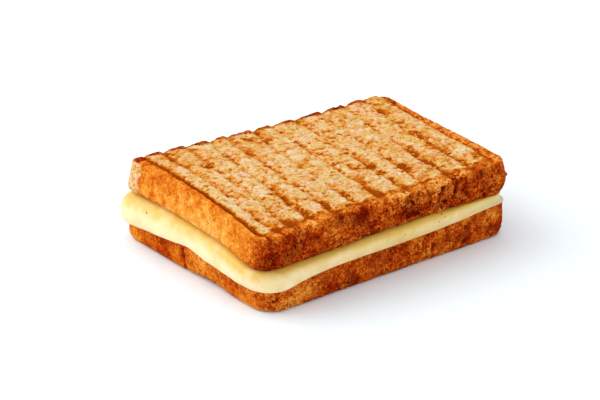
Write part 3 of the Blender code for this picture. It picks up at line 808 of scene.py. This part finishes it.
def back_lips(place, grooves, rag):
    """Lips of crust behind the ridges along the back: where they are, how high and how deep into the face.

    Each is low at its left end and highest where the next groove cuts it off. The right corner has none.
    """
    behind = (place.position < 0) | ((place.position > 8) & (place.position < 12))
    lip = np.where(behind, 1 - np.clip(grooves / 0.45, 0, 1), 0)
    lip = lip * (place.back < 5) * (place.left < 117) * ease(place.left, 2, 6)
    ends = np.array([groove[1] for groove in GROOVES])
    after = np.clip(np.searchsorted(ends, place.left), 1, len(ends) - 1)
    climb = np.clip((place.left - ends[after - 1]) / (ends[after] - ends[after - 1]), 0, 1) ** 1.4
    return lip, climb, 0.4 + 3.0 * climb + 0.5 * rag


def top_skin(spacing):
    """The upper slice before its relief, and where its points lie."""
    at = Stations(spacing)
    rim_corners = move_sides(TOP_CORNERS, TOP_RIM_STEP)
    rim_height = at.knots(TOP_RIM_HEIGHTS)
    edge_height = at.knots(TOP_SOLE_HEIGHTS)

    def level(steps, radii, height):
        return at.ring(move_sides(TOP_CORNERS, steps), radii, TOP_SWELLS, height)

    def edge(side, share):
        plan = along_side(rim_corners, TOP_RIM_RADII, TOP_SWELLS, side, share)
        return lift(plan, smooth_through(TOP_RIM_HEIGHTS, 4 * (side + share)))

    levels = [
        level(TOP_RIM_STEP - 4, TOP_RIM_RADII, rim_height),
        level(TOP_RIM_STEP, TOP_RIM_RADII, rim_height),
        level(TOP_ARC_STEP, 0.5 * (TOP_RADII + TOP_RIM_RADII), rim_height - TOP_ARC_DROP),
        level(0, TOP_RADII, rim_height - TOP_SHOULDER_DROP),
        level(TOP_BELLY_STEP, TOP_RADII, 0.5 * (rim_height + edge_height)),
        level(TOP_FOOT_STEP, TOP_RADII, edge_height + TOP_FOOT_RISE),
        level(TOP_SOLE_STEP, TOP_RIM_RADII, edge_height),
        level(TOP_SOLE_STEP - 3, TOP_RIM_RADII, 0.6 * edge_height + 0.4 * SOLE_HEIGHT),
    ]
    rings, over = profile(levels, spacing, 1)
    inner = level(TOP_SOLE_STEP - SOLE_INSET, TOP_RIM_RADII, SOLE_HEIGHT)
    over = np.append(over, over[-1] + SOLE_INSET)
    skin = Skin(np.concatenate([rings, inner[None]]))
    number = skin.grid(patch(edge, at.columns, at.rows), False)
    skin.fan(skin.last, True)
    return skin, Survey(skin, at, number, over)


def top_bake(points, place, on_left):
    """How well the upper slice's crust is baked, with a painted highlight on its rim, before its pits, lips
    and creases.
    """
    bake_and_painted_light = smooth_through(TOP_BAKE, place.at_rim)
    turned = ease(place.at_rim, 11.95, 12.1) * (1 - ease(place.at_rim, 15.72, 15.98))
    ragged = place.past + 1.6 * waves(points, 5, 67, 2)
    left_bake = np.interp(place.at_rim, np.arange(12, 17), LEFT_BAKE) + 0.08 - 0.1 * ease(ragged, 4.5, 9.5)
    bake_and_painted_light = bake_and_painted_light * (1 - turned) + turned * left_bake
    # The rim is golden, partly baked so and partly a painted highlight where the crust rounds over, but for
    # the dark lips along the back
    rim = 1 - ease(place.past, 0.5, 3.5)
    rim_bake_and_highlight = np.where((place.back < 5) & (place.right > 4), 0.7, np.where(place.right < 5, 0.34, 0.3))
    bake_and_painted_light = bake_and_painted_light * (1 - rim) + rim * rim_bake_and_highlight
    bake_and_painted_light = bake_and_painted_light + (1 - on_left) * (0.08 * ease(place.past, 6, 14) + 0.11 * waves(points, 7, 69, 2))
    bake_and_painted_light = bake_and_painted_light + on_left * 0.12 * waves(points, 3.2, 66) + stain(points, place, TOP_STAINS)
    return bake_and_painted_light + 0.15 * np.exp(-(((np.abs(place.position - TORN_KNOT) - 0.38) / 0.03) ** 2))


def top_slice(settings):
    """The upper slice with its relief, and the numbers that its material reads."""
    skin, place = top_skin(settings.spacing / MM)
    points, past, position = skin.points, place.past, place.position
    left, right, front, back = place.left, place.right, place.front, place.back
    grooves, toast = groove_fields(place, settings)
    run = np.exp(-((past / GROOVE_FADE) ** 2))
    rag = waves(points, 3.5, 21)
    left_crease, right_crease = creases(place.v)
    lip, climb, deep = back_lips(place, grooves, rag)

    # Crust: the wall, a ragged strip along the front, the lips along the back and the strips past the end
    # grooves. It has torn off at the back left corner
    crust = np.maximum.reduce(
        [
            ease(past, 0.2, 1.2),
            1 - ease(front, 0.6 + 1.2 * rag, 3.0 + 1.2 * rag),
            (1 - ease(back, deep, deep + 0.8)) * lip,
            1 - ease(left, left_crease - 0.4, left_crease + 0.3),
            1 - ease(right, right_crease - 0.4 + 0.4 * rag, right_crease + 0.3 + 0.4 * rag),
        ]
    )
    torn = (1 - ease(np.abs(position - TORN_KNOT) + 0.08 * rag, 0.33, 0.39)) * ease(past, 0.6, 1.6)
    crust = crust * (1 - torn)

    # The crust is smooth on the left and at the front corner, and roughest right of the middle
    along_left = ease(position, 11.9, 12.3) * (1 - ease(position, 15.55, 15.95))
    on_left = np.where(position >= 0, along_left, (left < left_crease + 1.5) * 1.0)
    past_corner = np.where(place.at_rim > 8, place.at_rim - 16, place.at_rim)
    corner = np.exp(-((past_corner / 0.45) ** 2))
    rough = (1 - 0.8 * on_left) * (1 - 0.4 * corner) * (0.75 + 0.25 * waves(points, 8.0, 64, 2))
    rougher = 0.25 * ease(position, 1.7, 2.1) * (1 - ease(position, 3.0, 3.6))
    rough = np.clip(rough, 0.1, 1.2) * (1 + rougher)

    relief, holes = crust_texture(points, 31)
    to_right = ease(left, 55, 75)
    crust_height = rough * (settings.crust_relief / MM * relief - (0.6 + 0.5 * to_right) * holes)
    crust_height += 0.1 * on_left * waves(points, 3, 35)
    lumps_height, lumps_tone_and_shade, chance = crumb_lumps(points)
    pores = pits(points, PORE, 61, 0.35)
    crumb_height = settings.crumb_relief / MM * lumps_height - 0.5 * pores
    height = crust * crust_height + (1 - crust) * crumb_height - grooves * run
    lip = lip * (1 - ease(back, 0.6 * deep, deep + 0.8)) * (1 - ease(past, 0.8, 2.5))
    height += (0.3 + 0.6 * climb) * lip

    # Crumb browns towards the edges, in slow patches and where the ribs and the plate touched it; painted
    # shade darkens the grooves' feet, the crevices between lumps and the pores
    scorch = toast * run
    crease = np.exp(-(((left - left_crease) / 0.9) ** 2))
    crease = (crease + 0.4 * np.exp(-(((right - right_crease) / 0.7) ** 2))) * (past <= 0.5)
    band = 0.68 * (1 - ease(front, 1.2 + rag, 6.5 + 2.0 * rag)) + 0.3 * np.exp(-back / 1.5)
    band = band + 0.25 * np.exp(-right / 2.5)
    broad = waves(points, 8.0, 65, 2)
    tone = 0.265 + 0.06 * ease(left, 60, 95) + 0.08 * ease(place.v, 0.6, 1.0) + 0.1 * broad + lumps_tone_and_shade
    tone = tone + scorch * (0.5 + 0.1 * broad + 0.45 * (chance - 0.5)) + 0.08 * waves(points, 2.0, 68, 2)
    tone = tone + 0.25 * pores + 0.8 * band + 0.5 * crease
    # Painted shade: the crust is darker in its pits and where its folds and cracks sink low
    bake_and_painted_light = top_bake(points, place, on_left) + rough * ((0.3 + 0.3 * to_right) * holes - 0.05 * relief)
    bake_and_painted_light = bake_and_painted_light + 0.2 * scorch + 0.4 * crease
    skin.points = points + skin.normals() * height[:, None]
    attributes = {"crust": crust, "tone": tone, "bake_and_painted_light": bake_and_painted_light, "rough": rough}
    return skin, attributes | {"around": position, "over": past}


def face_height(plan):
    """Height of the lower slice's buttered face, which falls towards the left."""
    left, right = BOTTOM_CORNERS[0, 0], BOTTOM_CORNERS[1, 0]
    return FACE_HEIGHT - FACE_SAG * (right - plan[:, 0]) / (right - left)


def pressed_edge(at, clearance):
    """Levels over the lower slice's rounded upper edge, from the cheese's lip in to the flat face."""
    plan = at.ring(BOTTOM_CORNERS, BOTTOM_RADII, BOTTOM_SWELLS, 0)[:, :2]
    normal = outward(plan)
    lip_height = at.knots(LIP_HEIGHTS)
    rise = np.maximum(face_height(plan) - lip_height, LEAST_RISE)
    levels = [(plan, lip_height)]
    for across, up in PRESSED_EDGE:
        inward = across * (PRESSED_RUN * rise + PRESSED_LEAST)
        levels.append((plan - inward[:, None] * normal, lip_height + up * rise))
    inner = at.ring(move_sides(BOTTOM_CORNERS, -FACE_INSET), 0.5 * BOTTOM_RADII, BOTTOM_SWELLS, 0)[:, :2]
    levels.append((inner, face_height(inner)))
    return [lift(plan + clearance * normal, height + clearance) for plan, height in levels]


def bottom_skin(spacing):
    """The lower slice before its relief, and where its points lie."""
    at = Stations(spacing)
    base_corners = move_sides(BOTTOM_CORNERS, BASE_STEP)
    rim_corners = move_sides(base_corners, -EDGE_TUCK)
    nearness = np.clip(1 - np.abs(at.position - ARCH_PLACE) / ARCH_REACH, 0, 1)
    arch = ARCH_RISE * np.sin(0.5 * math.pi * nearness) ** 2
    arc_corners = move_sides(base_corners, -0.3 * EDGE_TUCK)

    def level(corners, height):
        return at.ring(corners, BASE_RADII, BOTTOM_SWELLS, height)

    def edge(side, share):
        return lift(along_side(rim_corners, BASE_RADII, BOTTOM_SWELLS, side, share), 0)

    levels = [
        level(move_sides(rim_corners, -4), 0.3 * arch),
        level(rim_corners, arch),
        level(arc_corners, arch + 0.3 * EDGE_RISE),
        level(base_corners, arch + EDGE_RISE),
        at.ring(BOTTOM_CORNERS, BOTTOM_RADII, BOTTOM_SWELLS, at.knots(LIP_HEIGHTS) - LIP_DROP),
    ]
    upper = pressed_edge(at, 0)
    rings, over = profile(levels + upper[:4], spacing, 1)
    over = np.append(over, over[-1] + FACE_INSET)
    skin = Skin(np.concatenate([rings, upper[4][None]]))
    number = skin.grid(patch(edge, at.columns, at.rows), True)
    skin.quads[0] = skin.quads[0][:, ::-1]
    skin.fan(skin.last, False)
    return skin, Survey(skin, at, number, over)


def bottom_slice(settings):
    """The lower slice with its relief, and the numbers that its material reads."""
    skin, place = bottom_skin(settings.spacing / MM)
    points, past, position = skin.points, place.past, place.position
    ribs = 0.5 + 0.5 * np.cos(2 * math.pi * (place.left - 0.5 * FACE_LENGTH) / RIB_SPACING + math.pi)
    ribs = ease(ribs, 0.55, 1.0)
    run = np.exp(-((past / RIB_FADE) ** 2))
    on_left = np.where(past > 0, ease(position, 11.9, 12.4) * (1 - ease(position, 15.6, 16)), 0)
    rough = (0.6 - 0.2 * on_left) * np.clip(0.8 + 0.6 * waves(points, 8.0, 79, 2), 0.2, 1.5)
    relief, holes = crust_texture(points + 50, 71)
    crust = ease(past, 0.1, 1.0)
    # A fold stands in the left wall, where the crust bends
    fold = np.exp(-(((position - FOLD_KNOT + 0.03 * waves(points, 3, 78)) / 0.05) ** 2)) * crust
    height = 1.2 * rough * (settings.crust_relief / MM * relief - 0.55 * holes) - 0.5 * fold
    height = np.where(points[:, 2] < 0.4, np.minimum(height, 0), height) - 0.7 * ribs * run
    skin.points = points + skin.normals() * height[:, None]
    skin.points[:, 2] = np.maximum(skin.points[:, 2], 0.0)

    blotch = np.exp(-(((position - BLOTCH_KNOT) / 0.45) ** 2)) * on_left
    # Painted shade: the crust is darker in its pits and hollows
    bake_and_painted_light = smooth_through(BOTTOM_BAKE, place.at_rim) + rough * (0.4 * holes - 0.1 * relief)
    bake_and_painted_light = bake_and_painted_light + stain(points, place, BOTTOM_STAINS) + 0.13 * waves(points, 7, 75)
    bake_and_painted_light = bake_and_painted_light + 0.3 * blotch * (1 + 0.5 * relief) + 0.3 * fold
    tone = 0.35 + 0.45 * ribs * run * (past <= 0) + 0.12 * waves(points, 3.0, 76)
    attributes = {"crust": crust, "tone": tone, "bake_and_painted_light": bake_and_painted_light, "rough": rough}
    return skin, attributes | {"around": position, "over": past}


def cheese_layer(settings):
    """The cheese with its slow waves, and the numbers that its material reads."""
    spacing = settings.spacing / MM
    at = Stations(spacing)
    top = at.knots(TOP_SOLE_HEIGHTS) - CHEESE_GAP
    lip_height = at.knots(LIP_HEIGHTS)
    bulge = at.knots(BULGES)

    def plan(steps, radii):
        return at.ring(move_sides(TOP_CORNERS, steps), radii, TOP_SWELLS, 0)[:, :2]

    foot, under = plan(TOP_FOOT_STEP, TOP_RADII), plan(TOP_SOLE_STEP, TOP_RIM_RADII)
    inner = plan(TOP_SOLE_STEP - SOLE_INSET, TOP_RIM_RADII)
    on_bread = at.ring(BOTTOM_CORNERS, BOTTOM_RADII, BOTTOM_SWELLS, 0)[:, :2]
    normal = outward(on_bread)
    levels = [lift(0.8 * under + 0.2 * inner, 0.8 * top + 0.2 * (SOLE_HEIGHT - CHEESE_GAP)), lift(under, top)]
    for down, share in SWELL:
        middle = (1 - down) * foot + down * on_bread
        levels.append(lift(middle + (share * bulge)[:, None] * normal, top + down * (lip_height - top)))
    lip = on_bread + (CHEESE_GAP + at.knots(LIP_OUT))[:, None] * normal
    levels.append(lift(lip, lip_height + LIP_CURL))
    below = pressed_edge(at, CHEESE_GAP)
    rings, _ = profile(levels + below[:2], spacing, 0)
    rings = np.concatenate([lift(inner, SOLE_HEIGHT - CHEESE_GAP)[None], rings, np.array(below[2:])])
    skin = Skin(rings)
    skin.fan(skin.first, False)
    skin.fan(skin.last, True)

    level = np.full(len(skin.points), -1)
    level[:-2] = np.repeat(np.arange(len(rings)), rings.shape[1])
    shown = ease(level, 1, 5) * (1 - ease(level, len(rings) - 7, len(rings) - 4))
    height = settings.wave / MM * waves(skin.points, 11, 101, 2) * shown
    skin.points = skin.points + skin.normals() * height[:, None]
    around = np.zeros(len(skin.points))
    around[:-2] = np.tile(at.position, len(rings))
    on_left = ease(around, 11.5, 12.5)
    # Painted shade: deeper yellow for the first 5 to 11 mm below the upper slice, partly fat and partly the
    # shade under the bread; off the left end the cheese is a little deeper yellow everywhere, and more so
    # along the front
    fat_and_shade = 0.9 * (1 - ease(level * spacing, 5.0 + on_left, 9.5 + 2 * on_left))
    fat_and_shade = fat_and_shade * (1 + 0.3 * waves(skin.points, 6, 111, 2)) + 0.17 * (1 - on_left)
    fat_and_shade += 0.28 * ease(around, 0.6, 1.6) * (1 - ease(around, 5, 6))
    return skin, {"fat_and_shade": fat_and_shade, "around": around, "over": level * spacing}


# ----------------------------------------------------------------------------------------- small pieces


# Crumbs stuck to the crust: piece, how far round in knots, how far over the edge, radius, paleness
CRUMBS = (
    ("toast_upper", 4.04, 8.0, 0.95, 0.3),
    ("toast_lower", 0.7, 4.0, 0.65, 0.35),
    ("toast_upper", 2.25, 6.5, 0.45, 0.3),
    ("toast_upper", 2.4, 9.0, 0.4, 0.3),
    ("toast_upper", 2.62, 5.0, 0.45, 0.25),
    ("toast_upper", 1.92, 8.0, 0.4, 0.3),
    ("toast_upper", 3.2, 9.5, 0.45, 0.25),
    ("toast_lower", 3.5, 8.0, 0.4, 0.3),
    ("toast_lower", 1.9, 9.0, 0.4, 0.3),
)
# Specks in the cheese: how far round in knots, how far below its upper edge, radius, paleness
SPECKS = (
    (12.78, 8.2, 0.34, 0.0),
    (2.91, 4.0, 0.3, 0.3),
    (2.89, 5.3, 0.34, 0.3),
    (2.91, 8.3, 0.3, 0.5),
    (2.79, 9.5, 0.28, 0.0),
    (3.1, 5.5, 0.22, 0.2),
    (2.22, 9.5, 0.26, 0.1),
)
KNOT_APART = 31.0  # millimetres from one knot to the next, near enough


def spot_on(name, around, over):
    """Place and normal, in millimetres, of the point of a piece that is nearest to a spot on its side."""
    data = bpy.data.objects[name].data
    count = len(data.vertices)
    at, depth, places, normals = (np.zeros(size) for size in (count, count, 3 * count, 3 * count))
    data.attributes["around"].data.foreach_get("value", at)
    data.attributes["over"].data.foreach_get("value", depth)
    data.vertices.foreach_get("co", places)
    data.vertex_normals.foreach_get("vector", normals)
    nearest = np.argmin(np.hypot(KNOT_APART * (at - around), depth - over))
    return places.reshape(-1, 3)[nearest] / MM, normals.reshape(-1, 3)[nearest]


def lumps(name, spots, squash, material):
    """Makes one object of small uneven lumps. spots gives each one's place, normal, radius and paleness."""
    mesh = bmesh.new()
    bmesh.ops.create_icosphere(mesh, subdivisions=3, radius=1.0)
    ball = np.array([point.co for point in mesh.verts])
    triangles = np.array([[point.index for point in face.verts] for face in mesh.faces])
    mesh.free()
    points, faces, pale = [], [], []
    for place, normal, radius, paleness in spots:
        shape = ball * (1 + 0.35 * waves(ball + 10 * place, 1.1, 121, 3))[:, None]
        shape = shape - (1 - squash) * (shape @ normal)[:, None] * normal
        faces.append(triangles + len(ball) * len(points))
        points.append(place + radius * (shape + 0.3 * squash * normal))
        pale.append(np.full(len(ball), paleness))
    points, pale = np.vstack(points), np.concatenate(pale)
    shade = 0.1 * waves(points, 0.5, 131, 2) - 0.5 * pale
    attributes = {"crust": 1 - pale, "tone": 0.7 + shade, "bake_and_painted_light": 0.9 + shade, "rough": 0 * pale}
    return make_piece(name, points, np.vstack(faces).tolist(), material, attributes)


# ------------------------------------------------------------------------------------------- operators


class SANDWICH_OT_bottom_slice(bpy.types.Operator):
    """Make the lower slice of toast"""

    bl_idname = "sandwich.bottom_slice"
    bl_label = "Lower Slice"

    def execute(self, context):
        settings = context.scene.sandwich_bread
        skin, attributes = bottom_slice(settings)
        made = skin.finish("toast_lower", "bottom_slice", toasted_bread(settings), attributes)
        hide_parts("bottom_slice")
        return {"FINISHED"}


class SANDWICH_OT_cheese(bpy.types.Operator):
    """Make the melted cheese"""

    bl_idname = "sandwich.cheese"
    bl_label = "Cheese"

    def execute(self, context):
        settings = context.scene.sandwich_cheese
        skin, attributes = cheese_layer(settings)
        made = skin.finish("cheese_melted", "cheese", melted_cheese(settings), attributes)
        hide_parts("cheese")
        return {"FINISHED"}


class SANDWICH_OT_top_slice(bpy.types.Operator):
    """Make the upper slice of toast"""

    bl_idname = "sandwich.top_slice"
    bl_label = "Upper Slice"

    def execute(self, context):
        settings = context.scene.sandwich_bread
        skin, attributes = top_slice(settings)
        made = skin.finish("toast_upper", "top_slice", toasted_bread(settings), attributes)
        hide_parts("top_slice")
        return {"FINISHED"}


class SANDWICH_OT_crumbs(bpy.types.Operator):
    """Make the loose crumbs on the crust"""

    bl_idname = "sandwich.crumbs"
    bl_label = "Crumbs"

    def execute(self, context):
        spots = [(*spot_on(name, around, over), *rest) for name, around, over, *rest in CRUMBS]
        lumps("crumbs_loose", spots, 0.8, toasted_bread(context.scene.sandwich_bread))
        return {"FINISHED"}


class SANDWICH_OT_specks(bpy.types.Operator):
    """Make the browned specks in the cheese"""

    bl_idname = "sandwich.specks"
    bl_label = "Specks"

    def execute(self, context):
        spots = [(*spot_on("cheese_melted", around, over), *rest) for around, over, *rest in SPECKS]
        lumps("specks_browned", spots, 0.5, toasted_bread(context.scene.sandwich_bread))
        return {"FINISHED"}


class SANDWICH_OT_studio(bpy.types.Operator):
    """Make the floor, the light and the camera"""

    bl_idname = "sandwich.studio"
    bl_label = "Studio"

    def execute(self, context):
        settings = context.scene.sandwich_studio
        scene = context.scene
        scene.view_settings.view_transform = "Standard"
        half = 0.5 * settings.floor_size
        data = bpy.data.meshes.new("studio_floor")
        corners = [(-half, -half, 0), (half, -half, 0), (half, half, 0), (-half, half, 0)]
        data.from_pydata(corners, [], [(0, 1, 2, 3)])
        data.materials.append(white_card(settings))
        floor = bpy.data.objects.new("studio_floor", data)
        scene.collection.objects.link(floor)

        world = bpy.data.worlds.new("studio_sky")
        world.use_nodes = True
        background = world.node_tree.nodes["Background"]
        background.inputs["Color"].default_value = (*settings.sky_colour, 1)
        background.inputs["Strength"].default_value = settings.sky
        scene.world = world

        light = bpy.data.lights.new("key", "AREA")
        light.shape = "SQUARE"
        light.size = settings.key_size
        light.energy = settings.key
        key = bpy.data.objects.new("key", light)
        key.location = KEY_PLACE
        key.rotation_euler = (-Vector(key.location)).to_track_quat("-Z", "Y").to_euler()
        scene.collection.objects.link(key)

        azimuth, elevation = math.radians(CAMERA_AZIMUTH), math.radians(CAMERA_ELEVATION)
        back = Vector((math.sin(azimuth), -math.cos(azimuth), math.tan(elevation))).normalized()
        lens = bpy.data.cameras.new("camera")
        lens.sensor_width = SENSOR_WIDTH
        lens.lens = CAMERA_LENS
        lens.clip_end = 20
        camera = bpy.data.objects.new("camera", lens)
        camera.location = MM * (Vector(CAMERA_AIM) + CAMERA_AWAY * back)
        camera.rotation_euler = (-back).to_track_quat("-Z", "Y").to_euler()
        scene.collection.objects.link(camera)
        scene.camera = camera
        return {"FINISHED"}


class SANDWICH_PT_panel(bpy.types.Panel):
    """The sandwich's pieces, one button each"""

    bl_label = "Sandwich"
    bl_idname = "SANDWICH_PT_panel"
    bl_space_type = "VIEW_3D"
    bl_region_type = "UI"
    bl_category = "Sandwich"

    def draw(self, context):
        for operator in OPERATORS:
            self.layout.operator(operator.bl_idname)


OPERATORS = (
    SANDWICH_OT_bottom_slice,
    SANDWICH_OT_cheese,
    SANDWICH_OT_top_slice,
    SANDWICH_OT_crumbs,
    SANDWICH_OT_specks,
    SANDWICH_OT_studio,
)
GROUPS = {
    "sandwich_bread": BreadSettings,
    "sandwich_cheese": CheeseSettings,
    "sandwich_studio": StudioSettings,
}


def register():
    """Registers the settings, the operators and the panel."""
    for group in GROUPS.values():
        bpy.utils.register_class(group)
    for operator in OPERATORS:
        bpy.utils.register_class(operator)
    bpy.utils.register_class(SANDWICH_PT_panel)
    for label, group in GROUPS.items():
        setattr(bpy.types.Scene, label, bpy.props.PointerProperty(type=group))


def unregister():
    """Takes them away again."""
    for label in GROUPS:
        delattr(bpy.types.Scene, label)
    bpy.utils.unregister_class(SANDWICH_PT_panel)
    for operator in reversed(OPERATORS):
        bpy.utils.unregister_class(operator)
    for group in reversed(GROUPS.values()):
        bpy.utils.unregister_class(group)


def main():
    """Registers the add-on and makes every piece and the studio."""
    register()
    for operator in OPERATORS:
        family, name = operator.bl_idname.split(".")
        getattr(getattr(bpy.ops, family), name)()


if __name__ == "__main__":
    main()
